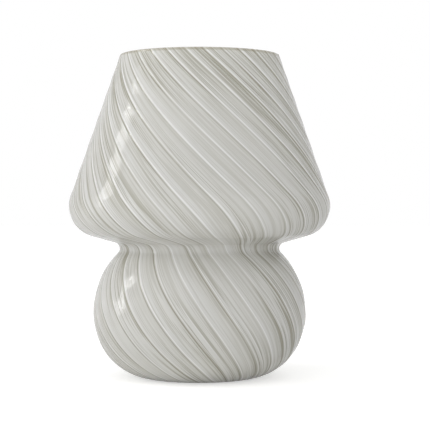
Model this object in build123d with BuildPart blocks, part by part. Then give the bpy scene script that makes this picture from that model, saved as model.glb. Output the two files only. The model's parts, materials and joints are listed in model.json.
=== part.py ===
from build123d import *
from math import atan2, acos, cos, degrees, hypot, radians, sin, sqrt, tan
import os

# Mushroom table lamp blown in one piece of swirled glass, with a screw-in bulb on a holder inside.
# Millimetres, +Z up. The origin is the middle of the foot, on the table. The cord leaves towards +Y.

# ------------------------------------------------------------------ glass sizes
height = 240.0            # foot to rim
rim_radius = 59.2         # outside, at the open top
brim_radius = 97.3        # widest ring of the shade
brim_height = 127.5
brim_arc = 23.0           # roundness of the brim, in section
underside_slope = 15.7    # degrees, from the neck up to the brim
neck_radius = 59.6
neck_arc = 4.5            # hollow of the neck, in section
belly_radius = 79.2       # widest ring of the base
belly_height = 48.2
belly_turn = 35.2         # degrees that the base curves in below its widest ring, before its heel
foot_radius = 35.0        # ground ring that stands on the table
wall = 3.0
lip = 1.1                 # roundness of the fire-polished rim
punt_mouth_radius = 28.0
punt_top_radius = 24.0
punt_depth = 10.0
punt_corner = 2.5
floor_thickness = 5.0
cavity_floor_inset = 27.2 # the flat floor inside ends this far short of the widest ring

# ------------------------------------------------------------------ swirl
gore_count = 28           # ribs round the glass, one to each white line
first_ridge = 2.2         # degrees from +X to a ridge, at the rim
rim_lean = 44.0           # degrees that a rib leans from the upright, along the glass
brim_lean = 42.4
underside_lean = 27.0
neck_lean = 25.0
belly_lean = 36.0
foot_lean = 22.0
lip_steps = 3             # sections along each stretch of the outline
swirl_steps = [20, 5, 6, 3, 4, 7, 8, 5]
cavity_steps = [1, 4, 5, 1, 4, 4, 3, 4]

# ------------------------------------------------------------------ fits
slip_fit = 0.05           # radial, parts screwed or slid into each other
hole_clearance = 0.2      # radial, tube in the glass
rest_gap = 0.3            # where a curved or springy part lies against another

# ------------------------------------------------------------------ cord inlet
cord_hole_radius = 4.5
cord_hole_height = 30.0   # at the outside of the glass
cord_radius = 3.1         # round lead that the inlet takes
grommet_flange_radius = 6.4
grommet_flange = 1.3
inner_flange_radius = 5.6
flange_taper = 20         # degrees

# ------------------------------------------------------------------ clamp through the floor
tube_radius = 5.0         # M10 lamp tube
tube_bore = 3.9
gasket_radius = 15.0
gasket_thickness = 1.5
washer_radius = 11.0
washer_thickness = 1.2
nut_flats = 14.0
nut_height = 4.0
tube_tail = 0.8           # tube left showing under the nut
dish_radius = 22.0
dish_thickness = 1.2
dish_rim = 3.0
spacer_radius = 8.0
spacer_height = 20.0
spacer_bore = 4.0
spacer_thread_depth = 6.0
spacer_chamfer = 0.5
upper_tube_length = 11.5

# ------------------------------------------------------------------ lampholder for a 14 mm screw cap
holder_radius = 14.0
holder_wall = 2.0
cap_neck_radius = 7.5
cap_neck_height = 7.5
cap_cone_height = 6.0
cap_height = 24.0
grip_count = 24
grip_radius = 0.6
joint_length = 8.0        # skirt screwed over the cap
core_height = 15.0
core_ledge = 1.2          # step in the cap that the core stands on
core_flat = 3.0           # depth of the flats at the terminals
shell_bore = 7.15
shell_wall = 0.4
shell_height = 17.0
skirt_height = 32.0       # above the cap
skirt_mouth_radius = 8.6
skirt_top_radius = 12.2
terminal_radius = 1.5
terminal_length = 5.0
terminal_offset = 4.0
slot_width = 0.6
slot_depth = 0.7
leaf_width = 4.0
leaf_thickness = 0.4
leaf_rise = 3.0
leaf_foot = 3.0
side_leaf_height = 8.0
grub_radius = 1.5
grub_length = 3.0

# ------------------------------------------------------------------ bulb
bulb_radius = 22.5
bulb_length = 78.0        # contact to crown
bulb_wall = 0.8
bulb_neck_radius = 6.4
bulb_flare_radius = 16.0
bulb_steps = [1, 2, 10]   # sections along neck, flare and globe
cap_shell_radius = 6.95
cap_shell_wall = 0.3
cap_shell_height = 19.5
cap_shell_lip = 1.5       # height of the turned-in lower edge
insulator_radius = 5.4
insulator_height = 3.2
contact_radius = 2.2
contact_height = 1.4
glass_in_cap = 6.0        # bulb glass sunk in its cap
stem_foot_height = 1.5
stem_radius = 2.6
stem_height = 20.0
rod_radius = 1.0
filament_count = 4
filament_radius = 0.85
filament_length = 26.0
filament_ring_radius = 7.0
wire_radius = 0.3
board_width = 9.0
board_thickness = 1.0
board_height = 11.0


# ------------------------------------------------------------------ outline of the glass
def tangent_from(point, centre, radius):
    """Angle, in degrees, at which the line down from an outside point touches a circle."""
    run, rise = point[0] - centre[0], point[1] - centre[1]
    return degrees(atan2(rise, run) - acos(radius / hypot(run, rise)))


def on_circle(centre, radius, angle):
    return (centre[0] + radius * cos(radians(angle)), centre[1] + radius * sin(radians(angle)))


def neck_place(underside_point):
    """Centre of the neck's hollow, which touches the underside and the neck radius."""
    run = neck_radius + neck_arc - underside_point[0]
    slope = radians(underside_slope)
    return neck_radius + neck_arc, underside_point[1] + run * tan(slope) - neck_arc / cos(slope)


def shoulder_circle(neck_centre):
    """Radius and centre of the arc from the hollow of the neck to the widest ring of the base."""
    run, rise = neck_centre[0] - belly_radius, neck_centre[1] - belly_height
    radius = (run ** 2 + rise ** 2 - neck_arc ** 2) / (2 * (belly_radius - neck_radius))
    return radius, (belly_radius - radius, belly_height)


def belly_arc_radius():
    """Radius of the arc below the widest ring, which with the heel's arc ends flat at the foot radius."""
    across, upright = cos(radians(belly_turn)), sin(radians(belly_turn))
    span = belly_radius - foot_radius
    return (belly_height * across - span * (1 - upright)) / (across + upright - 1)


def heel_circle(belly_centre, belly_arc, floor_level, touch_radius):
    """Radius and centre of the arc from the belly to a flat floor, which it meets at touch_radius."""
    run = touch_radius - belly_centre[0]
    drop = belly_centre[1] - floor_level
    radius = (belly_arc ** 2 - run ** 2 - drop ** 2) / (2 * (belly_arc - drop))
    return radius, (touch_radius, floor_level + radius)


def glass_outline(inset, floor_level, floor_radius):
    """The glass from rim to floor in half section, as edges, moved into the wall by inset."""
    brim_centre = (brim_radius - brim_arc, brim_height)
    touch = tangent_from((rim_radius, height), brim_centre, brim_arc)
    curl_end = underside_slope - 90
    curl = on_circle(brim_centre, brim_arc, curl_end)
    neck_centre = neck_place(curl)
    shoulder_arc, shoulder_centre = shoulder_circle(neck_centre)
    lower_centre = (belly_radius - lower_arc, belly_height)
    shoulder_top = degrees(
        atan2(neck_centre[1] - shoulder_centre[1], neck_centre[0] - shoulder_centre[0])
    )
    heel_arc, heel_centre = heel_circle(lower_centre, lower_arc - inset, floor_level, floor_radius)
    # the heel's centre lies towards the joint if its arc is the smaller of the two, and else away from it
    apart = lower_arc - inset - heel_arc
    heel_run, heel_rise = heel_centre[0] - lower_centre[0], heel_centre[1] - lower_centre[1]
    heel_top = degrees(atan2(heel_rise / apart, heel_run / apart))
    cone_end = on_circle(brim_centre, brim_arc - inset, touch)
    cone_fall = tan(radians(touch))
    cone_top = (cone_end[0] - (height - lip - cone_end[1]) * cone_fall, height - lip)
    underside_end = on_circle(neck_centre, neck_arc + inset, curl_end + 180)
    with BuildLine():
        cone = Line(cone_top, cone_end)
        brim = CenterArc(brim_centre, brim_arc - inset, touch, -touch)
        curl = CenterArc(brim_centre, brim_arc - inset, 0, curl_end)
        underside = Line(curl @ 1, underside_end)
        neck = CenterArc(neck_centre, neck_arc + inset, curl_end + 180, shoulder_top - curl_end)
        shoulder = CenterArc(shoulder_centre, shoulder_arc - inset, shoulder_top, -shoulder_top)
        lower = CenterArc(lower_centre, lower_arc - inset, 0, heel_top)
        heel = CenterArc(heel_centre, heel_arc, heel_top, -90 - heel_top)
    return [cone, brim, curl, underside, neck, shoulder, lower, heel]


def along(edges, steps):
    """Points along the outline: each stretch's own start, and its equal steps."""
    return [edge @ (k / count) for edge, count in zip(edges, steps) for k in range(count)]


def swirl_sections(edges):
    """Radius, height and turn of each section of the ribbed outside, from the rim down."""
    leans = [rim_lean, brim_lean, brim_lean, underside_lean, underside_lean]
    leans += [neck_lean, belly_lean, belly_lean, foot_lean]
    lip_centre = ((edges[0] @ 0).X - lip, height - lip)
    places = [(*on_circle(lip_centre, lip, 90 - 90 * k / lip_steps), rim_lean) for k in range(lip_steps)]
    for edge, count, first, last in zip(edges, swirl_steps, leans, leans[1:]):
        for k in range(count):
            point = edge @ (k / count)
            places.append((point.X, point.Y, first + (last - first) * k / count))
    places.append((foot_radius, 0, foot_lean))
    sections = [(places[0][0], places[0][1], first_ridge)]
    for above, below in zip(places, places[1:]):
        run = hypot(below[0] - above[0], below[1] - above[1])
        lean = radians((above[2] + below[2]) / 2)
        turn = sections[-1][2] + degrees(run * tan(lean) / ((above[0] + below[0]) / 2))
        sections.append((below[0], below[1], turn))
    return sections


# ------------------------------------------------------------------ glass body
floor_top = punt_depth + floor_thickness
lower_arc = belly_arc_radius()
cavity_floor_radius = belly_radius - cavity_floor_inset
outside = glass_outline(0, 0, foot_radius)
cavity = glass_outline(wall, floor_top, cavity_floor_radius)

# the cord hole is drilled square to the lower belly
lower_centre_radius = belly_radius - lower_arc
hole_angle = degrees(acos((belly_height - cord_hole_height) / lower_arc)) - 90
hole_point = on_circle((lower_centre_radius, belly_height), lower_arc, hole_angle)
hole_axis = Vector(0, cos(radians(hole_angle)), sin(radians(hole_angle)))
hole_plane = Plane(origin=(0, *hole_point), x_dir=(1, 0, 0), z_dir=hole_axis)

with BuildPart() as glass_body:
    for radius, level, turn in swirl_sections(outside):
        with BuildSketch(Plane.XY.offset(level)):
            RegularPolygon(radius=radius, side_count=gore_count, rotation=turn)
    loft(ruled=True)
    with BuildSketch(Plane.XZ):
        with BuildLine():
            inner_lip = CenterArc(cavity[0] @ 0 + (lip, 0), lip, 180, -90)
            Polyline(
                *along(cavity, cavity_steps),
                (cavity_floor_radius, floor_top),
                (0, floor_top),
                (0, height),
                inner_lip @ 1,
            )
        make_face()
    revolve(axis=Axis.Z, mode=Mode.SUBTRACT)
    with BuildSketch(Plane.XZ) as punt:
        with BuildLine():
            Polyline((0, 0), (punt_mouth_radius, 0), (punt_top_radius, punt_depth), (0, punt_depth), (0, 0))
        make_face()
        fillet(punt.vertices().group_by(Axis.Y)[-1].sort_by(Axis.X)[-1], punt_corner)
    revolve(axis=Axis.Z, mode=Mode.SUBTRACT)
    with BuildSketch(Plane.XY):
        Circle(tube_radius + hole_clearance)
    extrude(amount=floor_top, mode=Mode.SUBTRACT)
    with BuildSketch(hole_plane):
        Circle(cord_hole_radius)
    extrude(amount=2 * wall, both=True, mode=Mode.SUBTRACT)
glass_body.part.label = "glass_body"


# ------------------------------------------------------------------ cord inlet
grommet_bore = cord_radius + slip_fit
with BuildPart() as cord_grommet:
    # rest_gap is measured at the flange's edge, where the curved glass is nearest or farthest
    inner_sag = inner_flange_radius ** 2 / (2 * (lower_arc - wall))
    inner_face = -wall - inner_sag - rest_gap
    with BuildSketch(hole_plane):
        Circle(cord_hole_radius - slip_fit)
    extrude(amount=rest_gap + grommet_flange)
    with BuildSketch(hole_plane):
        Circle(cord_hole_radius - slip_fit)
    extrude(amount=inner_face - grommet_flange)
    with BuildSketch(hole_plane.offset(rest_gap)):
        Circle(grommet_flange_radius)
    extrude(amount=grommet_flange, taper=flange_taper)
    with BuildSketch(hole_plane.offset(inner_face)):
        Circle(inner_flange_radius)
    extrude(amount=-grommet_flange, taper=flange_taper)
    with BuildSketch(hole_plane):
        Circle(grommet_bore)
    extrude(amount=2 * wall + grommet_flange, both=True, mode=Mode.SUBTRACT)
cord_grommet.part.label = "cord_grommet"

# ------------------------------------------------------------------ clamp through the floor
under_gasket_level = punt_depth - gasket_thickness
washer_level = under_gasket_level - washer_thickness
nut_level = washer_level - nut_height
tube_foot = nut_level - tube_tail
dish_level = floor_top + gasket_thickness
spacer_level = dish_level + dish_thickness
spacer_top = spacer_level + spacer_height
tube_hole = tube_radius + slip_fit

with BuildPart() as floor_gasket:
    with BuildSketch(Plane.XY.offset(floor_top)):
        Circle(gasket_radius)
        Circle(tube_hole, mode=Mode.SUBTRACT)
    extrude(amount=gasket_thickness)
floor_gasket.part.label = "floor_gasket"

with BuildPart() as under_gasket:
    with BuildSketch(Plane.XY.offset(under_gasket_level)):
        Circle(gasket_radius)
        Circle(tube_hole, mode=Mode.SUBTRACT)
    extrude(amount=gasket_thickness)
under_gasket.part.label = "under_gasket"

with BuildPart() as clamp_washer:
    with BuildSketch(Plane.XY.offset(washer_level)):
        Circle(washer_radius)
        Circle(tube_hole, mode=Mode.SUBTRACT)
    extrude(amount=washer_thickness)
clamp_washer.part.label = "clamp_washer"

with BuildPart() as lock_nut:
    with BuildSketch(Plane.XY.offset(nut_level)):
        RegularPolygon(radius=nut_flats / 2, side_count=6, major_radius=False)
        Circle(tube_hole, mode=Mode.SUBTRACT)
    extrude(amount=nut_height)
lock_nut.part.label = "lock_nut"

with BuildPart() as lower_tube:
    with BuildSketch(Plane.XY.offset(tube_foot)):
        Circle(tube_radius)
        Circle(tube_bore, mode=Mode.SUBTRACT)
    extrude(amount=spacer_level + spacer_thread_depth - tube_foot)
lower_tube.part.label = "lower_tube"

with BuildPart() as seat_dish:
    with BuildSketch(Plane.XY.offset(dish_level)):
        Circle(dish_radius)
        Circle(tube_hole, mode=Mode.SUBTRACT)
    extrude(amount=dish_thickness)
    with BuildSketch(Plane.XY.offset(spacer_level)):
        Circle(dish_radius)
        Circle(dish_radius - dish_thickness, mode=Mode.SUBTRACT)
    extrude(amount=dish_rim)
seat_dish.part.label = "seat_dish"

with BuildPart() as side_entry_spacer:
    with BuildSketch(Plane.XY.offset(spacer_level)):
        Circle(spacer_radius)
        Circle(spacer_bore, mode=Mode.SUBTRACT)
    extrude(amount=spacer_height)
    with BuildSketch(Plane.XY.offset(spacer_level), Plane.XY.offset(spacer_top - spacer_thread_depth)):
        Circle(tube_hole)
    extrude(amount=spacer_thread_depth, mode=Mode.SUBTRACT)
    with BuildSketch(Plane.XZ.offset(-spacer_radius)):
        with Locations((0, spacer_level + spacer_height / 2)):
            Circle(grommet_bore)
    extrude(amount=spacer_radius, mode=Mode.SUBTRACT)
    rims = side_entry_spacer.edges().filter_by(GeomType.CIRCLE).filter_by(
        lambda edge: edge.radius == spacer_radius
    )
    chamfer(rims, spacer_chamfer)
side_entry_spacer.part.label = "side_entry_spacer"

with BuildPart() as upper_tube:
    with BuildSketch(Plane.XY.offset(spacer_top - spacer_thread_depth)):
        Circle(tube_radius)
        Circle(tube_bore, mode=Mode.SUBTRACT)
    extrude(amount=upper_tube_length)
upper_tube.part.label = "upper_tube"

# ------------------------------------------------------------------ lampholder
cone_level = spacer_top + cap_neck_height
barrel_level = cone_level + cap_cone_height
joint_level = spacer_top + cap_height
cap_top = joint_level + joint_length
core_level = barrel_level + holder_wall
core_top = core_level + core_height
inner_radius = holder_radius - holder_wall
joint_radius = holder_radius - holder_wall / 2
core_radius = inner_radius - rest_gap
skirt_top = cap_top + skirt_height
grub_level = spacer_top + cap_neck_height / 2

with BuildPart() as holder_cap:
    with BuildSketch(Plane.XZ):
        with BuildLine():
            Polyline(
                (tube_hole, spacer_top),
                (cap_neck_radius, spacer_top),
                (cap_neck_radius, cone_level),
                (holder_radius, barrel_level),
                (holder_radius, joint_level),
                (joint_radius, joint_level),
                (joint_radius, cap_top),
                (inner_radius, cap_top),
                (inner_radius, core_level),
                (inner_radius - core_ledge, core_level),
                (tube_hole, cone_level + holder_wall),
                (tube_hole, spacer_top),
            )
        make_face()
    revolve(axis=Axis.Z)
    with BuildSketch(Plane.XY.offset(barrel_level)):
        with PolarLocations(holder_radius, grip_count):
            Circle(grip_radius)
    extrude(amount=joint_level - barrel_level, mode=Mode.SUBTRACT)
    with BuildSketch(Plane.YZ):
        with Locations((0, grub_level)):
            Circle(grub_radius + slip_fit)
    extrude(amount=cap_neck_radius, mode=Mode.SUBTRACT)
holder_cap.part.label = "holder_cap"

with BuildPart() as cap_grub_screw:
    with BuildSketch(Plane.YZ.offset(tube_hole)):
        with Locations((0, grub_level)):
            Circle(grub_radius)
    extrude(amount=grub_length)
    with BuildSketch(Plane.YZ.offset(tube_hole + grub_length)):
        with Locations((0, grub_level)):
            Rectangle(2 * grub_radius, slot_width)
    extrude(amount=-slot_depth, mode=Mode.SUBTRACT)
cap_grub_screw.part.label = "cap_grub_screw"

terminal_level = core_level + core_height / 2
flat_depth = core_radius - core_flat
terminals = [(-terminal_offset, terminal_level), (terminal_offset, terminal_level)]
with BuildPart() as terminal_core:
    with BuildSketch(Plane.XY.offset(core_level)):
        Circle(core_radius)
        with Locations((0, -core_radius), (0, core_radius)):
            Rectangle(2 * core_radius, 2 * core_flat, mode=Mode.SUBTRACT)
    extrude(amount=core_height)
    with BuildSketch(Plane.XZ.offset(-flat_depth)):
        with Locations(*terminals):
            Circle(terminal_radius + slip_fit)
    extrude(amount=terminal_length, mode=Mode.SUBTRACT)
terminal_core.part.label = "terminal_core"

with BuildPart() as terminal_screws:
    with BuildSketch(Plane.XZ.offset(-flat_depth)):
        with Locations(*terminals):
            Circle(terminal_radius)
    extrude(amount=terminal_length)
    with BuildSketch(Plane.XZ.offset(-flat_depth)):
        with Locations(*terminals):
            Rectangle(2 * terminal_radius, slot_width)
    extrude(amount=slot_depth, mode=Mode.SUBTRACT)
terminal_screws.part.label = "terminal_screws"

# sprung strip under the bulb's end contact
leaf_top = core_top + leaf_rise
with BuildPart() as centre_contact:
    with BuildSketch(Plane.XZ):
        with BuildLine():
            leaf = Polyline(
                (-shell_bore + slot_depth, core_top + leaf_thickness / 2),
                (-shell_bore + leaf_foot, core_top + leaf_thickness / 2),
                (-contact_radius / 2, leaf_top - leaf_thickness / 2),
                (contact_radius, leaf_top - leaf_thickness / 2),
            )
            offset(leaf, leaf_thickness / 2, kind=Kind.INTERSECTION, side=Side.BOTH)
        make_face()
    extrude(amount=leaf_width / 2, both=True)
centre_contact.part.label = "centre_contact"

with BuildPart() as screw_shell:
    with BuildSketch(Plane.XY.offset(core_top)):
        Circle(shell_bore + shell_wall)
        Circle(shell_bore, mode=Mode.SUBTRACT)
    extrude(amount=shell_height)
screw_shell.part.label = "screw_shell"

with BuildPart() as side_contact:
    with BuildSketch(Plane.XY.offset(core_top)):
        with Locations((shell_bore + shell_wall + slip_fit, 0)):
            Rectangle(leaf_thickness, leaf_width, align=(Align.MIN, Align.CENTER))
    extrude(amount=side_leaf_height)
side_contact.part.label = "side_contact"

with BuildPart() as holder_skirt:
    with BuildSketch(Plane.XZ):
        with BuildLine():
            Polyline(
                (joint_radius + slip_fit, joint_level + slip_fit),
                (holder_radius, joint_level + slip_fit),
                (holder_radius, core_top),
                (skirt_top_radius, skirt_top),
                (skirt_mouth_radius, skirt_top),
                (skirt_mouth_radius, core_top + slip_fit),
                (inner_radius - slip_fit, core_top + slip_fit),
                (inner_radius - slip_fit, cap_top + slip_fit),
                (joint_radius + slip_fit, cap_top + slip_fit),
                (joint_radius + slip_fit, joint_level + slip_fit),
            )
        make_face()
    revolve(axis=Axis.Z)
holder_skirt.part.label = "holder_skirt"

# ------------------------------------------------------------------ bulb
bulb_foot = leaf_top + rest_gap
insulator_level = bulb_foot + contact_height
shell_level = insulator_level + insulator_height
cap_shell_top = shell_level + cap_shell_height
cap_shell_bore = cap_shell_radius - cap_shell_wall
globe_level = bulb_foot + bulb_length - bulb_radius
neck_end_level = cap_shell_top - glass_in_cap
stem_top = neck_end_level + stem_height
filament_foot = globe_level - filament_length / 2

with BuildPart() as bulb_contact:
    with BuildSketch(Plane.XY.offset(bulb_foot)):
        Circle(contact_radius)
    extrude(amount=contact_height)
bulb_contact.part.label = "bulb_contact"

with BuildPart() as bulb_insulator:
    with BuildSketch(Plane.XZ):
        with BuildLine():
            Polyline(
                (0, insulator_level),
                (contact_radius, insulator_level),
                (insulator_radius, shell_level),
                (0, shell_level),
                (0, insulator_level),
            )
        make_face()
    revolve(axis=Axis.Z)
bulb_insulator.part.label = "bulb_insulator"

with BuildPart() as bulb_cap:
    with BuildSketch(Plane.XZ):
        with BuildLine():
            Polyline(
                (insulator_radius, shell_level),
                (cap_shell_radius, shell_level + cap_shell_lip),
                (cap_shell_radius, cap_shell_top),
                (cap_shell_bore, cap_shell_top),
                (cap_shell_bore, shell_level + cap_shell_lip),
                (insulator_radius - cap_shell_wall, shell_level),
                (insulator_radius, shell_level),
            )
        make_face()
    revolve(axis=Axis.Z)
bulb_cap.part.label = "bulb_cap"

# neck, flare and globe run into each other without a corner
flare_centre_radius = bulb_neck_radius + bulb_flare_radius
flare_drop = sqrt((bulb_radius + bulb_flare_radius) ** 2 - flare_centre_radius ** 2)
flare_centre = (flare_centre_radius, globe_level - flare_drop)
meeting_angle = degrees(atan2(flare_drop, flare_centre_radius))


def bulb_half_section(inset):
    """Points of the bulb glass from its open neck to the crown, moved inwards by inset."""
    neck_inset = bulb_neck_radius - inset
    with BuildLine():
        neck = Line((neck_inset, neck_end_level), (neck_inset, flare_centre[1]))
        flare = CenterArc(flare_centre, bulb_flare_radius + inset, 180, -meeting_angle)
        globe = CenterArc((0, globe_level), bulb_radius - inset, -meeting_angle, 90 + meeting_angle)
    return along([neck, flare, globe], bulb_steps) + [(0, globe_level + bulb_radius - inset)]


with BuildPart() as bulb_envelope:
    with BuildSketch(Plane.XZ):
        with BuildLine():
            Polyline(*bulb_half_section(0), *reversed(bulb_half_section(bulb_wall)), close=True)
        make_face()
    revolve(axis=Axis.Z)
bulb_envelope.part.label = "bulb_envelope"

with BuildPart() as bulb_stem:
    with BuildSketch(Plane.XY.offset(neck_end_level)):
        Circle(bulb_neck_radius - bulb_wall - slip_fit)
    extrude(amount=stem_foot_height)
    with BuildSketch(Plane.XY.offset(neck_end_level)):
        Circle(stem_radius)
    extrude(amount=stem_height)
    with BuildSketch(Plane.XY.offset(stem_top)):
        Circle(rod_radius)
    extrude(amount=filament_foot + filament_length + 2 * wire_radius - stem_top)
bulb_stem.part.label = "bulb_stem"

with BuildPart() as led_filaments:
    with BuildSketch(Plane.XY.offset(filament_foot)):
        with PolarLocations(filament_ring_radius, filament_count):
            Circle(filament_radius)
    extrude(amount=filament_length)
led_filaments.part.label = "led_filaments"

with BuildPart() as filament_wires:
    for start_radius, level in (
        (rod_radius, filament_foot - wire_radius),
        (rod_radius, filament_foot + filament_length + wire_radius),
    ):
        with Locations((0, 0, level)):
            with PolarLocations(start_radius, filament_count):
                Cylinder(
                    wire_radius,
                    filament_ring_radius - start_radius,
                    rotation=(0, 90, 0),
                    align=(Align.CENTER, Align.CENTER, Align.MIN),
                )
filament_wires.part.label = "filament_wires"

with BuildPart() as driver_board:
    with BuildSketch(Plane.XY.offset(shell_level)):
        Rectangle(board_width, board_thickness)
    extrude(amount=board_height)
driver_board.part.label = "driver_board"

# ------------------------------------------------------------------ files
pieces = [glass_body, cord_grommet, floor_gasket, under_gasket, clamp_washer, lock_nut, lower_tube]
pieces += [seat_dish, side_entry_spacer, upper_tube, holder_cap, cap_grub_screw, terminal_core]
pieces += [terminal_screws, centre_contact, side_contact, screw_shell, holder_skirt]
pieces += [bulb_contact, bulb_insulator, bulb_cap, bulb_envelope, bulb_stem, led_filaments]
pieces += [filament_wires, driver_board]
os.makedirs("parts", exist_ok=True)
for piece in pieces:
    export_step(piece.part, f"parts/{piece.part.label}.step")
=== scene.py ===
import json
import math
import bmesh
import bpy
import numpy as np
from mathutils import Matrix, Vector


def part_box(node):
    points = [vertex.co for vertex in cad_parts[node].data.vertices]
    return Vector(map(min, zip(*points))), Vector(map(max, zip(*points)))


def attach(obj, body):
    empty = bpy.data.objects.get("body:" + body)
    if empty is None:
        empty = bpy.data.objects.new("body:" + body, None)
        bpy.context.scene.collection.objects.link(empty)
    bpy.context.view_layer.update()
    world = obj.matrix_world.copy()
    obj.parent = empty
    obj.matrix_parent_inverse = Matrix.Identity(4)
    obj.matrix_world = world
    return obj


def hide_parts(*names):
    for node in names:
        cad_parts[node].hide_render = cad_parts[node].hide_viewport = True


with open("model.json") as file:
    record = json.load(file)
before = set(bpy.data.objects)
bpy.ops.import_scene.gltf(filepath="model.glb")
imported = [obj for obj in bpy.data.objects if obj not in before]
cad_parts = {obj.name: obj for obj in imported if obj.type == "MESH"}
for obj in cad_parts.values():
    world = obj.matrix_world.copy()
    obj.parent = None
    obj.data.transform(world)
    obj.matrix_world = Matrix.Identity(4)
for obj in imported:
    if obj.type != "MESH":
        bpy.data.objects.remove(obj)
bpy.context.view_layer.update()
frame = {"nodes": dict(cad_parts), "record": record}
NODES = frame["nodes"]
SLOT_OF = {row["node"]: row["material_slot"] for row in frame["record"]["subparts"]}

MM = 0.001


# ------------------------------------------------------------------ camera
# the photograph's own viewpoint: just above half height, straight on, about a metre away
CAMERA_DISTANCE = 1.05
CAMERA_HEIGHT = 0.132
AIM = Vector((0.0115, 0.0, 0.1208))
LENS = 117.7
SENSOR = 36.0


def place_camera():
    data = bpy.data.cameras.new("camera")
    data.lens = LENS
    data.sensor_width = SENSOR
    camera = bpy.data.objects.new("camera", data)
    camera.location = (0.0, -CAMERA_DISTANCE, CAMERA_HEIGHT)
    camera.rotation_euler = (AIM - camera.location).to_track_quat("-Z", "Y").to_euler()
    bpy.context.scene.collection.objects.link(camera)
    bpy.context.scene.camera = camera


place_camera()
bpy.context.scene.view_settings.view_transform = "Standard"


# ------------------------------------------------------------------ lines and rings
def on_circle(centre, radius, angle):
    return (centre[0] + radius * math.cos(angle), centre[1] + radius * math.sin(angle))


def arc(centre, radius, start, sweep):
    """Stretch of an outline: the point at a share of the way from 0 to 1, and the length."""
    return lambda t: on_circle(centre, radius, start + sweep * t), radius * abs(sweep)


def line(start, end):
    """Straight stretch of an outline, as arc gives a round one."""
    return lambda t: tuple(a + (b - a) * t for a, b in zip(start, end)), math.dist(start, end)


def bend(centre, radius, start, end, steps):
    """Points of an arc in a half section, angles in degrees."""
    angles = [math.radians(start + (end - start) * k / steps) for k in range(steps + 1)]
    return [on_circle(centre, radius, angle) for angle in angles]


def run_of(start, end, step):
    """Points of a straight stretch in a half section, without its end."""
    count = max(1, round(math.dist(start, end) / step))
    return [line(start, end)[0](k / count) for k in range(count)]


def ring_points(radius, angle, level, centre=(0, 0)):
    """Points of one ring, whose radius may change on its way round."""
    x, y = centre[0] + radius * np.cos(angle), centre[1] + radius * np.sin(angle)
    return np.stack([x, y, np.full(len(angle), level)], 1)


def ring_faces(rings, columns):
    """Four-sided faces from each ring to the next, and from the last to the first."""
    index = np.arange(rings * columns).reshape(rings, columns)
    below, beside = np.roll(index, -1, axis=0), np.roll(index, -1, axis=1)
    return np.stack([index, below, np.roll(below, -1, axis=1), beside], -1).reshape(-1, 4)


# ------------------------------------------------------------------ outline of the glass
HEIGHT = 240.0 * MM
RIM_RADIUS = 59.2 * MM
BRIM_RADIUS = 97.3 * MM
BRIM_HEIGHT = 127.5 * MM
BRIM_ARC = 23.0 * MM
UNDERSIDE_SLOPE = math.radians(15.7)
NECK_RADIUS = 59.6 * MM
NECK_ARC = 4.5 * MM
NECK_LEVEL = 96.0 * MM
BELLY_RADIUS = 79.2 * MM
BELLY_HEIGHT = 48.2 * MM
LOWER_ARC = 52.5 * MM           # curve of the base under its widest ring
FOOT_RADIUS = 35.0 * MM
WALL = 3.0 * MM
LIP = 1.1 * MM                  # roundness of the rim
FLOOR_TOP = 15.0 * MM
CAVITY_FLOOR_RADIUS = 52.0 * MM
RIBS = 28
PITCH = 2 * math.pi / RIBS
FIRST_RIDGE = math.radians(2.2)
LEANS = [44.0, 42.4, 42.4, 27.0, 27.0, 25.0, 36.0, 36.0, 22.0]   # of the ribs, rim to foot

UNDERSIDE_TURN = UNDERSIDE_SLOPE - math.pi / 2
BRIM_CENTRE = (BRIM_RADIUS - BRIM_ARC, BRIM_HEIGHT)
LOWER_CENTRE = (BELLY_RADIUS - LOWER_ARC, BELLY_HEIGHT)


def neck_place(underside_point):
    """Centre of the neck's hollow, which touches the underside and the neck radius."""
    run = NECK_RADIUS + NECK_ARC - underside_point[0]
    rise = run * math.tan(UNDERSIDE_SLOPE) - NECK_ARC / math.cos(UNDERSIDE_SLOPE)
    return NECK_RADIUS + NECK_ARC, underside_point[1] + rise


def shoulder_circle(neck_centre):
    """Radius and centre of the arc from the hollow of the neck to the widest ring of the base."""
    run, rise = neck_centre[0] - BELLY_RADIUS, neck_centre[1] - BELLY_HEIGHT
    radius = (run ** 2 + rise ** 2 - NECK_ARC ** 2) / (2 * (BELLY_RADIUS - NECK_RADIUS))
    return radius, (BELLY_RADIUS - radius, BELLY_HEIGHT)


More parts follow.
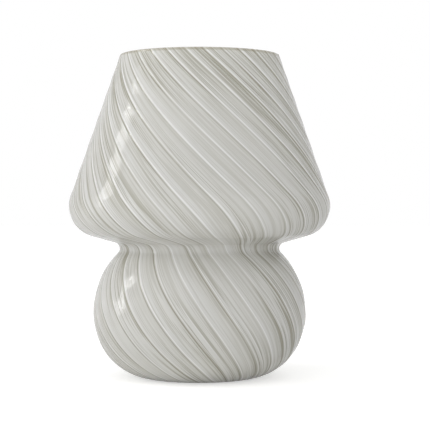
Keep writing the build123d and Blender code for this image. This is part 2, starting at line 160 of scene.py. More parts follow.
def glass_outline(inset, floor_level, floor_radius):
    """The glass from rim to floor in half section, as stretches, moved into the wall by inset."""
    run, rise = RIM_RADIUS - BRIM_CENTRE[0], HEIGHT - BRIM_CENTRE[1]
    touch = math.atan2(rise, run) - math.acos(BRIM_ARC / math.hypot(run, rise))
    cone_end = on_circle(BRIM_CENTRE, BRIM_ARC - inset, touch)
    cone_top = (cone_end[0] - (HEIGHT - LIP - cone_end[1]) * math.tan(touch), HEIGHT - LIP)
    curl_end = on_circle(BRIM_CENTRE, BRIM_ARC - inset, UNDERSIDE_TURN)
    neck_centre = neck_place(on_circle(BRIM_CENTRE, BRIM_ARC, UNDERSIDE_TURN))
    underside_end = on_circle(neck_centre, NECK_ARC + inset, UNDERSIDE_TURN + math.pi)
    shoulder_arc, shoulder_centre = shoulder_circle(neck_centre)
    shoulder_top = math.atan2(neck_centre[1] - shoulder_centre[1], neck_centre[0] - shoulder_centre[0])
    heel_run, drop = floor_radius - LOWER_CENTRE[0], LOWER_CENTRE[1] - floor_level
    belly_arc = LOWER_ARC - inset
    heel_arc = (belly_arc ** 2 - heel_run ** 2 - drop ** 2) / (2 * (belly_arc - drop))
    heel_centre = (floor_radius, floor_level + heel_arc)
    heel_top = math.atan2(heel_centre[1] - LOWER_CENTRE[1], heel_centre[0] - LOWER_CENTRE[0])
    return [
        line(cone_top, cone_end),
        arc(BRIM_CENTRE, BRIM_ARC - inset, touch, -touch),
        arc(BRIM_CENTRE, BRIM_ARC - inset, 0, UNDERSIDE_TURN),
        line(curl_end, underside_end),
        arc(neck_centre, NECK_ARC + inset, UNDERSIDE_TURN + math.pi, shoulder_top - UNDERSIDE_TURN),
        arc(shoulder_centre, shoulder_arc - inset, shoulder_top, -shoulder_top),
        arc(LOWER_CENTRE, belly_arc, 0, heel_top),
        arc(heel_centre, heel_arc, heel_top, -math.pi / 2 - heel_top),
    ]


def stations(stretches, step):
    """Radius, height and rib lean along the stretches, at most a step apart."""
    found = []
    for (point, length), first, last in zip(stretches, LEANS, LEANS[1:]):
        count = max(1, math.ceil(length / step))
        found += [(*point(k / count), first + (last - first) * k / count) for k in range(count)]
    return found + [(*stretches[-1][0](1), LEANS[-1])]


# ------------------------------------------------------------------ the glass body
OUTSIDE_STEP = 1.3 * MM
INSIDE_STEP = 3.0 * MM
COLUMNS_PER_RIB = 16
RIDGE_ROUNDING = 0.35           # share of half a rib over which its ridge is rounded
RELIEF = 0.5                    # of the flats' depth that the soft glass kept
CANE_PROUD = 0.12 * MM          # the white canes stand a little out of the glass
CANE_HALF_WIDTH = 1.1 * MM
VALLEY_DEPTH = 0.16 * MM        # a shallow valley runs beside each cane
VALLEY_PLACE = 2.2 * MM
VALLEY_HALF_WIDTH = 1.2 * MM
WAVE = 0.16 * MM                # hand-blown unevenness
BLOWN_WAVES = [(1.0, 3, 31, 0.0), (0.7, 5, -47, 1.3), (0.5, 8, 83, 4.1)]   # height, round, along, shift
LIP_STEPS = 6
INNER_LIP_STEPS = 4

PUNT_MOUTH_RADIUS = 28.0 * MM
PUNT_TOP_RADIUS = 24.0 * MM
PUNT_DEPTH = 10.0 * MM
PUNT_CORNER = 2.5 * MM          # rounding between the punt's side and its top
PUNT_CORNER_INSET = 1.9 * MM    # of that rounding's centre, from the top's radius
PUNT_SIDE_FACES = 22            # degrees above the level that the punt's side faces
PUNT_CORNER_STEPS = 4
TUBE_HOLE_RADIUS = 5.2 * MM
GROUND_EDGE = 2.5 * MM          # this and the next two place rings on flat stretches, to keep faces short
PUNT_RING = 6.0 * MM
FLOOR_RING = 15.0 * MM

CORD_HOLE_RADIUS = 4.5 * MM
CORD_HOLE_HEIGHT = 30.0 * MM
CORD_DRILL_SIDES = 48


def ridge_height(across, radius):
    """Height of the ribbed outside over the round, for places across a rib from 0 to 1 (0 is the ridge)."""
    away = np.abs(across - 0.5) * 2
    face = 1 - away ** 2
    rounded = (1 - RIDGE_ROUNDING) / RIDGE_ROUNDING * (1 - away) ** 2 + RIDGE_ROUNDING
    depth = np.where(away < 1 - RIDGE_ROUNDING, face, rounded)
    beside = (across - np.round(across)) * PITCH * radius
    cane = CANE_PROUD * np.exp(-(beside / CANE_HALF_WIDTH) ** 2)
    valley = VALLEY_DEPTH * np.exp(-((beside + VALLEY_PLACE) / VALLEY_HALF_WIDTH) ** 2)
    return cane - valley - RELIEF * depth * radius * (1 - math.cos(PITCH / 2))


def unevenness(angle, along):
    """Slow waves left by blowing, always inwards."""
    highest = sum(height for height, *_ in BLOWN_WAVES)
    waves = sum(height * np.sin(turns * angle + runs * along + shift)
                for height, turns, runs, shift in BLOWN_WAVES)
    return WAVE * (waves / highest - 1) / 2


def outside_rings():
    """Radius, height, turn and distance along the glass of each ring outside, rim to foot."""
    places = stations(glass_outline(0, 0, FOOT_RADIUS), OUTSIDE_STEP)
    lip_centre = (places[0][0] - LIP, HEIGHT - LIP)
    places = [(*point, LEANS[0]) for point in bend(lip_centre, LIP, 90, 0, LIP_STEPS)[:-1]] + places
    rings, turn, along = [], FIRST_RIDGE, 0.0
    for here, following in zip(places, places[1:] + places[-1:]):
        rings.append((here[0], here[1], turn, along))
        run = math.dist(here[:2], following[:2])
        lean = math.radians((here[2] + following[2]) / 2)
        turn += run * math.tan(lean) / ((here[0] + following[0]) / 2)
        along += run
    return rings


def punt_rings():
    """Radius and height of the rings from the foot by way of punt and tube hole to the floor inside."""
    corner_centre = (PUNT_TOP_RADIUS - PUNT_CORNER_INSET, PUNT_DEPTH - PUNT_CORNER)
    rings = [(PUNT_MOUTH_RADIUS + GROUND_EDGE, 0), (PUNT_MOUTH_RADIUS, 0)]
    rings += bend(corner_centre, PUNT_CORNER, PUNT_SIDE_FACES, 90, PUNT_CORNER_STEPS)
    rings += [(TUBE_HOLE_RADIUS + PUNT_RING, PUNT_DEPTH), (TUBE_HOLE_RADIUS, PUNT_DEPTH)]
    rings += [(TUBE_HOLE_RADIUS, FLOOR_TOP), (TUBE_HOLE_RADIUS + FLOOR_RING, FLOOR_TOP)]
    return rings


def inside_rings():
    """Radius and height of the smooth inside, floor to rim."""
    outline = glass_outline(WALL, FLOOR_TOP, CAVITY_FLOOR_RADIUS)
    rings = [place[:2] for place in reversed(stations(outline, INSIDE_STEP))]
    lip_centre = (rings[-1][0] + LIP, HEIGHT - LIP)
    return rings + bend(lip_centre, LIP, 180, 90, INNER_LIP_STEPS)[1:-1]


def glass_rows():
    """Radius, height, turn, distance along the glass and ribbing (1 or 0) of every ring of the skin."""
    outside = outside_rings()
    foot_turn, foot_along = outside[-1][2:]
    heights, turns, alongs = zip(*sorted((level, turn, along) for _, level, turn, along in outside))
    rows = [(*ring, 1.0) for ring in outside]
    rows += [(*ring, foot_turn, foot_along, 0.0) for ring in punt_rings()]
    for radius, level in inside_rings():
        turn, along = np.interp(level, heights, turns), np.interp(level, heights, alongs)
        rows.append((radius, level, turn, along, 0.0))
    return rows


def build_glass():
    """One closed skin: ribbed outside, foot, punt, tube hole, floor, smooth inside and rounded rim."""
    columns = RIBS * COLUMNS_PER_RIB
    across = (np.arange(columns) % COLUMNS_PER_RIB) / COLUMNS_PER_RIB
    phase = np.arange(columns) / columns * 2 * math.pi
    points, swirl = [], []
    for radius, level, turn, along, ribbed in glass_rows():
        angle = phase + turn
        reach = radius + ribbed * (ridge_height(across, radius) + unevenness(angle, along))
        points.append(ring_points(reach, angle, level))
        swirl.append(ring_points(1.0, phase, along))
    mesh = bpy.data.meshes.new("glass_body_blown")
    mesh.from_pydata(np.concatenate(points).tolist(), [], ring_faces(len(points), columns).tolist())
    attribute = mesh.attributes.new("swirl", "FLOAT_VECTOR", "POINT")
    attribute.data.foreach_set("vector", np.concatenate(swirl).ravel())
    mesh.polygons.foreach_set("use_smooth", [True] * len(mesh.polygons))
    mesh.update()
    glass = bpy.data.objects.new("glass_body_blown", mesh)
    bpy.context.scene.collection.objects.link(glass)
    return glass


def drill_cord_hole(glass):
    """Cuts the hole for the cord, at the back and square to the lower belly."""
    angle = math.acos((BELLY_HEIGHT - CORD_HOLE_HEIGHT) / LOWER_ARC) - math.pi / 2
    mouth = Vector((0, *on_circle(LOWER_CENTRE, LOWER_ARC, angle)))
    shape = bmesh.new()
    bmesh.ops.create_cone(
        shape, cap_ends=True, segments=CORD_DRILL_SIDES, depth=4 * WALL,
        radius1=CORD_HOLE_RADIUS, radius2=CORD_HOLE_RADIUS,
        matrix=Matrix.Translation(mouth) @ Matrix.Rotation(angle - math.pi / 2, 4, "X"))
    mesh = bpy.data.meshes.new("cord_drill")
    shape.to_mesh(mesh)
    shape.free()
    drill = bpy.data.objects.new("cord_drill", mesh)
    bpy.context.scene.collection.objects.link(drill)
    cut = glass.modifiers.new("cord_hole", "BOOLEAN")
    cut.operation = "DIFFERENCE"
    cut.object = drill
    cut.solver = "MANIFOLD"
    view = bpy.context.evaluated_depsgraph_get()
    drilled = bpy.data.meshes.new_from_object(
        glass.evaluated_get(view), preserve_all_data_layers=True, depsgraph=view)
    glass.modifiers.clear()
    # the drill has no material, and leaves its empty slot on the faces that it cut
    drilled.materials.clear()
    drilled.polygons.foreach_set("material_index", [0] * len(drilled.polygons))
    glass.data = drilled
    bpy.data.objects.remove(drill)


# ------------------------------------------------------------------ turned and threaded pieces
SHARP = math.radians(35)        # edges that turn more than this stay crisp
THREAD_COLUMNS = 64
SMOOTH_COLUMNS = 96
TUBE_RADIUS = 5.0 * MM
TUBE_BORE = 3.9 * MM
TUBE_EDGE = 0.3 * MM
TUBE_THREAD_PITCH = 1.0 * MM    # of the 10 mm lamp tube
TUBE_THREAD_DEPTH = 0.35 * MM
TUBE_RINGS_PER_TURN = 8
NUT_FLATS = 7.0 * MM            # from the middle to a flat
NUT_HOLE = 5.05 * MM
CAP_THREAD_PITCH = 2.82 * MM    # of the 14 mm screw cap
CAP_THREAD_DEPTH = 0.35 * MM
CAP_RINGS_PER_TURN = 12
CAP_LIP = 1.5 * MM
SHELL_THREAD_DEPTH = 0.1 * MM   # the holder's sleeve shows only the backs of its threads
SHEET = 0.3 * MM                # thickness of the rolled cap and sleeve


def levels(node):
    """Lowest and highest level of a CAD node."""
    low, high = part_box(node)
    return low[2], high[2]


def skin(name, section, columns, reach=None, centre=(0, 0)):
    """Closed smooth mesh turned from a closed half section; reach can change the radius round the piece."""
    angle = np.arange(columns) / columns * 2 * math.pi
    points = []
    for radius, level in section:
        around = np.full(columns, radius) if reach is None else reach(angle, radius, level)
        points.append(ring_points(around, angle, level, centre))
    # these sections run up their outside, so the faces are wound the other way round
    faces = ring_faces(len(section), columns)[:, [0, 3, 2, 1]]
    mesh = bpy.data.meshes.new(name)
    mesh.from_pydata(np.concatenate(points).tolist(), [], faces.tolist())
    shape = bmesh.new()
    shape.from_mesh(mesh)
    bmesh.ops.remove_doubles(shape, verts=shape.verts, dist=1e-6)
    bmesh.ops.recalc_face_normals(shape, faces=shape.faces)
    for edge in shape.edges:
        edge.smooth = len(edge.link_faces) == 2 and edge.calc_face_angle(0) < SHARP
    for face in shape.faces:
        face.smooth = True
    shape.to_mesh(mesh)
    shape.free()
    return mesh


def threaded(pitch, depth, first, last):
    """Radius that dips by depth in a screw thread between two levels, and runs plain at its ends."""
    def reach(angle, radius, level):
        fade = np.clip(min(level - first, last - level) / pitch, 0, 1)
        turn = angle / (2 * math.pi) - level / pitch
        return np.full(len(angle), radius) - depth * fade * (0.5 + 0.5 * np.cos(2 * math.pi * turn))
    return reach


def lamp_tube(node):
    """Steel tube, threaded from end to end, with chamfered ends."""
    low, high = levels(node)
    foot, top = (TUBE_RADIUS, low + TUBE_EDGE), (TUBE_RADIUS, high - TUBE_EDGE)
    section = [(TUBE_BORE, high), (TUBE_BORE, low), (TUBE_RADIUS - TUBE_EDGE, low)]
    section += run_of(foot, top, TUBE_THREAD_PITCH / TUBE_RINGS_PER_TURN)
    section += [top, (TUBE_RADIUS - TUBE_EDGE, high)]
    cut = threaded(TUBE_THREAD_PITCH, TUBE_THREAD_DEPTH, low, high)

    def reach(angle, radius, level):
        return np.full(len(angle), radius) if radius < TUBE_RADIUS else cut(angle, radius, level)
    return skin(node, section, THREAD_COLUMNS, reach)


def hexagon_nut(node):
    """Hexagon nut with both faces chamfered by a 30 degree cone."""
    low, high = levels(node)
    corner = NUT_FLATS / math.cos(math.pi / 6)
    cone = (corner - NUT_FLATS) * math.tan(math.pi / 6)

    def reach(angle, radius, level):
        sixth = np.mod(angle + math.pi / 2, math.pi / 3) - math.pi / 6
        flat = np.minimum(radius, NUT_FLATS / np.cos(sixth))
        return np.full(len(angle), radius) if radius <= NUT_HOLE else flat
    section = [(NUT_HOLE, high), (NUT_HOLE, low), (NUT_FLATS, low)]
    section += [(corner, low + cone), (corner, high - cone), (NUT_FLATS, high)]
    return skin(node, section, SMOOTH_COLUMNS, reach)


def screw_cap(node, depth, lip):
    """Rolled screw cap or its mate: one thin wall with the same round thread on both faces."""
    low, high = levels(node)
    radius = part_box(node)[1][0]
    start = low + lip
    outside = run_of((radius, start), (radius, high), CAP_THREAD_PITCH / CAP_RINGS_PER_TURN)
    outside.append((radius, high))
    inside = [(r - SHEET, level) for r, level in reversed(outside)]
    turned_in = [(radius - lip, low), (radius - lip + SHEET, low)] if lip else []
    cut = threaded(CAP_THREAD_PITCH, depth, start, high)

    def reach(angle, r, level):
        return cut(angle, r, level) if level >= start else np.full(len(angle), r)
    return skin(node, outside + inside + turned_in, THREAD_COLUMNS, reach)


# ------------------------------------------------------------------ upper half of the lampholder
HOLDER_RADIUS = 14.0 * MM
HOLDER_JOINT = 13.0 * MM        # inside the skirt, over the cap's thread
HOLDER_INSIDE = 12.0 * MM
HOLDER_TOP_RADIUS = 12.2 * MM
HOLDER_MOUTH_RADIUS = 8.6 * MM
HOLDER_EDGE = 0.9 * MM          # moulded roundness of the top
HOLDER_EDGE_STEPS = 6
HOLDER_TAPER = 5                # degrees that the top part leans in
HOLDER_FOOT_EDGE = 0.3 * MM
HOLDER_RINGS = (2.0 * MM, 3.6 * MM)   # two fine grooves, above the lower edge
HOLDER_RING_DEPTH = 0.25 * MM
SLIP = 0.05 * MM


def holder_top():
    """Upper half of the lampholder with moulded edges and two fine rings."""
    low, high = levels("holder_skirt")
    cap_top = levels("holder_cap")[1] + SLIP
    core_top = levels("screw_shell")[0]
    inner, joint = HOLDER_INSIDE - SLIP, HOLDER_JOINT + SLIP
    section = [(joint, low), (HOLDER_RADIUS - HOLDER_FOOT_EDGE, low)]
    section += [(HOLDER_RADIUS, low + HOLDER_FOOT_EDGE)]
    for ring in HOLDER_RINGS:
        for rise, deep in ((0, 0), (1, 1), (2, 0)):
            level = low + ring + rise * HOLDER_RING_DEPTH
            section.append((HOLDER_RADIUS - deep * HOLDER_RING_DEPTH, level))
    section += [(HOLDER_RADIUS, core_top)]
    edge_level = high - HOLDER_EDGE
    section += bend(
        (HOLDER_TOP_RADIUS - HOLDER_EDGE, edge_level), HOLDER_EDGE, HOLDER_TAPER, 90, HOLDER_EDGE_STEPS)
    section += bend(
        (HOLDER_MOUTH_RADIUS + HOLDER_EDGE, edge_level), HOLDER_EDGE, 90, 180, HOLDER_EDGE_STEPS)
    section += [(HOLDER_MOUTH_RADIUS, core_top + SLIP), (inner, core_top + SLIP)]
    section += [(inner, cap_top), (joint, cap_top)]
    return skin("holder_skirt", section, SMOOTH_COLUMNS)


# ------------------------------------------------------------------ the bulb
GLOBE_RADIUS = 22.5 * MM
FLARE_RADIUS = 16.0 * MM        # hollow curve from the neck to the globe
BULB_NECK_RADIUS = 6.4 * MM
BULB_WALL = 0.8 * MM
BULB_NECK_STEP = 2.0 * MM
FLARE_STEPS = 8
GLOBE_STEPS = 40
STEM_FOOT_RADIUS = 5.5 * MM
STEM_FOOT_HEIGHT = 1.0 * MM
STEM_FLARE = 2.9 * MM
STEM_PINCH = [(2.6, 17), (2.2, 19), (1.2, 20), (1.0, 21)]   # radius and height in mm, pinched while hot
STEM_ROD = 1.0 * MM
STEM_TIP = 0.6 * MM
STEM_COLUMNS = 48
FILAMENTS = 4
FILAMENT_RADIUS = 0.85 * MM
FILAMENT_RING = 7.0 * MM
FILAMENT_END = 75               # degrees up each round end, where its flat tip starts
FILAMENT_END_STEPS = 5
FILAMENT_COLUMNS = 20


def bulb_glass_section(inset):
    """Half section of the bulb glass from its open neck to the crown, moved inwards by inset."""
    low, high = levels("bulb_envelope")
    centre = (0.0, high - GLOBE_RADIUS)
    run = BULB_NECK_RADIUS + FLARE_RADIUS
    drop = math.sqrt((GLOBE_RADIUS + FLARE_RADIUS) ** 2 - run ** 2)
    flare_centre = (run, centre[1] - drop)
    meeting = math.degrees(math.atan2(drop, run))
    neck = BULB_NECK_RADIUS - inset
    section = run_of((neck, low), (neck, flare_centre[1]), BULB_NECK_STEP)
    section += bend(flare_centre, FLARE_RADIUS + inset, 180, 180 - meeting, FLARE_STEPS)[:-1]
    return section + bend(centre, GLOBE_RADIUS - inset, -meeting, 90, GLOBE_STEPS)


def bulb_glass_body():
    """Clear globe with its neck, one even wall."""
    section = bulb_glass_section(0.0) + bulb_glass_section(BULB_WALL)[::-1]
    return skin("bulb_envelope", section, SMOOTH_COLUMNS)


def bulb_foot_glass():
    """Flared glass foot, pinched on top, with the rod that carries the wires."""
    low, high = levels("bulb_stem")
    foot_top = low + STEM_FOOT_HEIGHT
    section = [(0.0, low), (STEM_FOOT_RADIUS, low), (STEM_FOOT_RADIUS, foot_top)]
    section += bend((STEM_FOOT_RADIUS, foot_top + STEM_FLARE), STEM_FLARE, 270, 180, FLARE_STEPS)
    section += [(radius * MM, low + height * MM) for radius, height in STEM_PINCH]
    section += [(STEM_ROD, high - STEM_TIP), (STEM_TIP, high), (0.0, high)]
    return skin("bulb_stem", section, STEM_COLUMNS)


def filaments():
    """Coated strips standing in a ring, each rounded like a capsule."""
    low, high = levels("led_filaments")
    foot, crown = (0.0, low + FILAMENT_RADIUS), (0.0, high - FILAMENT_RADIUS)
    section = [(0.0, low), *bend(foot, FILAMENT_RADIUS, -FILAMENT_END, 0, FILAMENT_END_STEPS)]
    section += [*bend(crown, FILAMENT_RADIUS, 0, FILAMENT_END, FILAMENT_END_STEPS), (0.0, high)]
    centres = [on_circle((0.0, 0.0), FILAMENT_RING, k * 2 * math.pi / FILAMENTS) for k in range(FILAMENTS)]
    return [skin("led_filaments", section, FILAMENT_COLUMNS, centre=centre) for centre in centres]


# ------------------------------------------------------------------ material tools
SMOOTH = {"interpolation_type": "SMOOTHSTEP"}   # settings of a range that eases in and out
COLOURS = {"data_type": "RGBA"}                 # settings of a mix of colours, its sockets 6 and 7
MOST = (0.3, 0.7)                               # most values of a noise lie in this range


def colour(code):
    """sRGB hex to linear RGBA."""
    parts = [int(code[i:i + 2], 16) / 255 for i in (1, 3, 5)]
    return [p / 12.92 if p <= 0.04045 else ((p + 0.055) / 1.055) ** 2.4 for p in parts] + [1.0]


def add(tree, kind, sockets=(), **settings):
    """Adds a node and returns its outputs; a socket, by name or in order, takes a value or an output."""
    node = tree.nodes.new("ShaderNode" + kind)
    for name, value in settings.items():
        setattr(node, name, value)
    for socket, value in sockets.items() if isinstance(sockets, dict) else enumerate(sockets):
        if isinstance(value, bpy.types.NodeSocket):
            tree.links.new(value, node.inputs[socket])
        else:
            node.inputs[socket].default_value = value
    return node.outputs


def new_material(name):
    material = bpy.data.materials.new(name)
    material.use_nodes = True
    material.node_tree.nodes.clear()
    return material, material.node_tree


# ------------------------------------------------------------------ swirled glass
# the patterns' sizes are in millimetres, across the ribs and along them
MEAN_RADIUS_MM = 80.0           # radius of the glass at which those sizes hold
DRIFT = (30.0, 90.0)            # slow wander of the white lines off their ribs
STREAKS = (5.0, 80.0)           # pulled bands of milk, which also widen and narrow the lines
HAIRS = (0.8, 45.0)             # finest lines, about 0.3 mm in real glass, drawn coarser so that they show
THREADS = (2.2, 70.0)           # single clear threads
MILKINESS = (14.0, 60.0)        # where a line is thick with milk, and where it pales
CLEARNESS = (26.0, 110.0)       # where clear glass shows between the lines, and where it is clouded
LINE_SHIFT = 0.08               # shares of a rib that the lines stand beside its ridge
LINE_DRIFT = 0.16               # shares of a rib that they wander
LINE_HALF_WIDTH_MM = 1.1        # where the streaks are at their fullest
LINE_SOFTNESS_MM = 0.42
SECOND_LINE_MM = (5.2, 0.25, 0.5)     # a fainter line: place on the rib, half width and softness
VALLEY_MM = (-2.0, 0.35, 0.95)        # bottom of the valley beside a line, in the same terms
VEIL_FRAY = 1.6                 # how far the hairlines fray the veil, in shares of a rib
MILK_LETS_THROUGH = 0.03
CLEAR_LETS_THROUGH = 0.25       # more than the milk
GROOVE_DEPTH = 0.12 * MM        # of the valley's bottom
CANE_RISE = 0.08 * MM
HAIR_RISE = 0.03 * MM
STREAK_RISE = 0.06 * MM
SCATTER = 9.0 * MM              # how far light travels in the milk
# ranges: a pattern, a level, or a place from -1 to 1 along X runs between the first two values, and gives
# the last two there, or 0 and 1
# painted shade: the next two ranges draw more of the dark clear glass towards the left and right flanks, as
# the camera faces the lamp, where glass seen edge-on looks darker
PAINTED_SHADE_RIGHT = (0.3, 1.0, 0.0, 0.20)
PAINTED_SHADE_LEFT = (-0.5, -1.0, 0.0, 0.12)
CLEARER_UP = (170.0 * MM, HEIGHT, 0.0, 0.14)
LINE_WIDENS_UP = (NECK_LEVEL, BRIM_HEIGHT, -0.15, 0.15)   # millimetres of half width
LINE_WHITENS = (0.3, 0.55, 0.6, 1.0)
SECOND_LINE_SHOWS = (0.45, 0.6, 0.0, 0.7)
VEIL_THINS = (0.62, -0.05)
VEIL_THICKENS = (*MOST, 0.5, 1.0)
VALLEY_OPENS = (0.4, 0.62, 0.25, 1.0)
# painted shade: the valleys open wider towards the left, where the window lights the ribs from the side
VALLEY_SHADE_PAINTED_LEFT = (-0.1, -0.8, 0.0, 0.55)
HAIRS_ARE_CLEAR = (0.52, 0.62)
THREADS_ARE_CLEAR = (0.54, 0.64)
THIN_LINES_SHOW = (0.42, 0.74, 0.14, 0.62)
RIM_DARKENS = (HEIGHT - 2.6 * MM, HEIGHT - 1.4 * MM, 0.0, 0.55)


def drawn_noise(tree, swirl, size, detail=2.0):
    """Noise pulled out along the ribs."""
    turns = MEAN_RADIUS_MM / size[0]
    stretched = add(tree, "VectorMath", [swirl, (turns, turns, 1 / (size[1] * MM))], operation="MULTIPLY")[0]
    return add(tree, "TexNoise", {"Vector": stretched, "Scale": 1.0, "Detail": detail})[0]


def stripe(tree, beside, place, half_width, softness):
    """1 on a stripe across the rib, 0 away from it; all in millimetres."""
    offset = add(tree, "Math", [beside, place], operation="SUBTRACT")[0]
    away = add(tree, "Math", [offset], operation="ABSOLUTE")[0]
    past_edge = add(tree, "Math", [away, half_width], operation="SUBTRACT")[0]
    return add(tree, "MapRange", [past_edge, -softness, softness, 1.0, 0.0], **SMOOTH)[0]


def rib_places(tree, swirl, radius):
    """Place on a rib from 0 to 1, the same in millimetres, and millimetres beside the nearest white line."""
    pitch = add(tree, "Math", [radius, PITCH / MM], operation="MULTIPLY")[0]
    round_x, round_y, _ = add(tree, "SeparateXYZ", [swirl])
    angle = add(tree, "Math", [round_y, round_x], operation="ARCTAN2")[0]
    rib = add(tree, "Math", [angle, PITCH], operation="DIVIDE")[0]
    drift = drawn_noise(tree, swirl, DRIFT)
    wandering = add(tree, "Math", [drift, LINE_DRIFT, rib], operation="MULTIPLY_ADD")[0]
    shifted = add(tree, "Math", [wandering, RIBS - LINE_SHIFT], operation="ADD")[0]
    across = add(tree, "Math", [shifted], operation="FRACT")[0]
    nearest = add(tree, "Math", [across], operation="ROUND")[0]
    share = add(tree, "Math", [across, nearest], operation="SUBTRACT")[0]
    beside = add(tree, "Math", [share, pitch], operation="MULTIPLY")[0]
    on_rib = add(tree, "Math", [across, pitch], operation="MULTIPLY")[0]
    return across, on_rib, beside


def clearness_and_flank_shade(tree, swirl, side, level):
    """How clear the glass is between its lines, clearer towards the rim, with painted shade: more of the
    dark clear glass towards its left and right flanks.
    """
    clearness_with_flank_shade = drawn_noise(tree, swirl, CLEARNESS, 1.0)
    for where, limits in ((side, PAINTED_SHADE_RIGHT), (side, PAINTED_SHADE_LEFT), (level, CLEARER_UP)):
        more = add(tree, "MapRange", [where, *limits], **SMOOTH)[0]
        clearness_with_flank_shade = add(tree, "Math", [clearness_with_flank_shade, more], operation="ADD")[0]
    return clearness_with_flank_shade


# Opal cane glass, called swirled glass: milky rods picked up on clear glass, blown in a ribbed mould,
# twisted, and fire-polished. The eye gets white lines with a soft veil on one side and a clear valley on
# the other, light that sinks into the milk and glows back, and a wet gloss that the window shows in.
def swirled_glass():
    material, tree = new_material("swirled_glass")
    swirl = add(tree, "Attribute", attribute_name="swirl")["Vector"]
    place = add(tree, "TexCoord")["Object"]
    flat = add(tree, "VectorMath", [place, (1.0, 1.0, 0.0)], operation="MULTIPLY")[0]
    radius = add(tree, "VectorMath", [flat], operation="LENGTH")["Value"]
    x, _, level = add(tree, "SeparateXYZ", [place])
    side = add(tree, "Math", [x, radius], operation="DIVIDE")[0]
    across, on_rib, beside = rib_places(tree, swirl, radius)
    clearness_with_flank_shade = clearness_and_flank_shade(tree, swirl, side, level)
    streak = drawn_noise(tree, swirl, STREAKS)
    hairs = drawn_noise(tree, swirl, HAIRS)
    threads = drawn_noise(tree, swirl, THREADS, 1.0)
    milkiness = drawn_noise(tree, swirl, MILKINESS, 1.0)

    # white lines: finer on the base than on the shade
    plain_width = add(tree, "MapRange", [level, *LINE_WIDENS_UP], **SMOOTH)[0]
    half_width = add(tree, "Math", [streak, LINE_HALF_WIDTH_MM, plain_width], operation="MULTIPLY_ADD")[0]
    cane = stripe(tree, beside, 0.0, half_width, LINE_SOFTNESS_MM)
    thickness = add(tree, "MapRange", [milkiness, *LINE_WHITENS], **SMOOTH)[0]
    cane = add(tree, "Math", [cane, thickness], operation="MULTIPLY")[0]
    second = stripe(tree, on_rib, *SECOND_LINE_MM)
    shown = add(tree, "MapRange", [clearness_with_flank_shade, *SECOND_LINE_SHOWS], **SMOOTH)[0]
    second = add(tree, "Math", [second, shown], operation="MULTIPLY")[0]
    white = add(tree, "Math", [cane, second], operation="MAXIMUM")[0]

    # veil: milk that thins out from one side of each line, frayed by the hairlines
    fray = add(tree, "Math", [hairs, VEIL_FRAY, -VEIL_FRAY / 2], operation="MULTIPLY_ADD")[0]
    frayed = add(tree, "Math", [across, fray], operation="ADD")[0]
    veil = add(tree, "MapRange", [frayed, *VEIL_THINS], **SMOOTH)[0]
    density = add(tree, "MapRange", [milkiness, *VEIL_THICKENS], **SMOOTH)[0]
    veil = add(tree, "Math", [veil, density], operation="MULTIPLY")[0]

    # clear glass: the valley on the lines' other side, and hairs and threads; the valleys are drawn darker
    # towards the flanks and more so on the left, which is painted shade
    valley = stripe(tree, beside, *VALLEY_MM)
    open_here = add(tree, "MapRange", [clearness_with_flank_shade, *VALLEY_OPENS], **SMOOTH)[0]
    painted_shade_left = add(tree, "MapRange", [side, *VALLEY_SHADE_PAINTED_LEFT], **SMOOTH)[0]
    openness_and_painted_shade = add(tree, "Math", [open_here, painted_shade_left], operation="ADD")[0]
    openness_and_painted_shade = add(tree, "Math", [openness_and_painted_shade, 1.0], operation="MINIMUM")[0]
    groove_and_painted_shade = add(tree, "Math", [valley, openness_and_painted_shade], operation="MULTIPLY")[0]
    clear_hairs = add(tree, "MapRange", [hairs, *HAIRS_ARE_CLEAR], **SMOOTH)[0]
    clear_threads = add(tree, "MapRange", [threads, *THREADS_ARE_CLEAR], **SMOOTH)[0]
    thin = add(tree, "Math", [clear_hairs, clear_threads], operation="MAXIMUM")[0]
    share = add(tree, "MapRange", [clearness_with_flank_shade, *THIN_LINES_SHOW], **SMOOTH)[0]
    thin = add(tree, "Math", [thin, share], operation="MULTIPLY")[0]
    clear = add(tree, "Math", [groove_and_painted_shade, thin], operation="MAXIMUM")[0]

    banded = add(tree, "MapRange", [streak, *MOST], **SMOOTH)[0]
    tone = add(tree, "Mix", {0: banded, 6: colour("#D3D2CC"), 7: colour("#DAD9D4")}, **COLOURS)[2]
    # the clear glass's dark beige also carries the painted shade of the flanks and of the left valleys
    for mask, strength, code in ((veil, 0.6, "#E0E0DD"), (clear, 0.85, "#847D5A"), (white, 0.9, "#F4F4F2")):
        amount = add(tree, "Math", [mask, strength], operation="MULTIPLY")[0]
        tone = add(tree, "Mix", {0: amount, 6: tone, 7: colour(code)}, **COLOURS)[2]
    lip = add(tree, "MapRange", [level, *RIM_DARKENS], **SMOOTH)[0]
    tone = add(tree, "Mix", {0: lip, 6: tone, 7: colour("#A39D8A")}, **COLOURS)[2]

    uncovered = add(tree, "Math", [1.0, white], operation="SUBTRACT")[0]
    bare = add(tree, "Math", [clear, uncovered], operation="MULTIPLY")[0]
    passage = [bare, CLEAR_LETS_THROUGH, MILK_LETS_THROUGH]
    seethrough = add(tree, "Math", passage, operation="MULTIPLY_ADD")[0]
    relief = add(tree, "Math", [cane, CANE_RISE], operation="MULTIPLY")[0]
    for pattern, rise in ((valley, -GROOVE_DEPTH), (hairs, HAIR_RISE), (streak, STREAK_RISE)):
        relief = add(tree, "Math", [pattern, rise, relief], operation="MULTIPLY_ADD")[0]
    bump = add(tree, "Bump", {"Strength": 1.0, "Distance": 1.0, "Height": relief})[0]
    shader = add(tree, "BsdfPrincipled", {
        "Base Color": tone, "Transmission Weight": seethrough, "Normal": bump,
        "Roughness": 0.045, "IOR": 1.5, "Specular IOR Level": 0.27,
        "Subsurface Weight": 0.85, "Subsurface Radius": (1.0, 1.0, 0.97), "Subsurface Scale": SCATTER})[0]
    add(tree, "OutputMaterial", [shader])
    return material


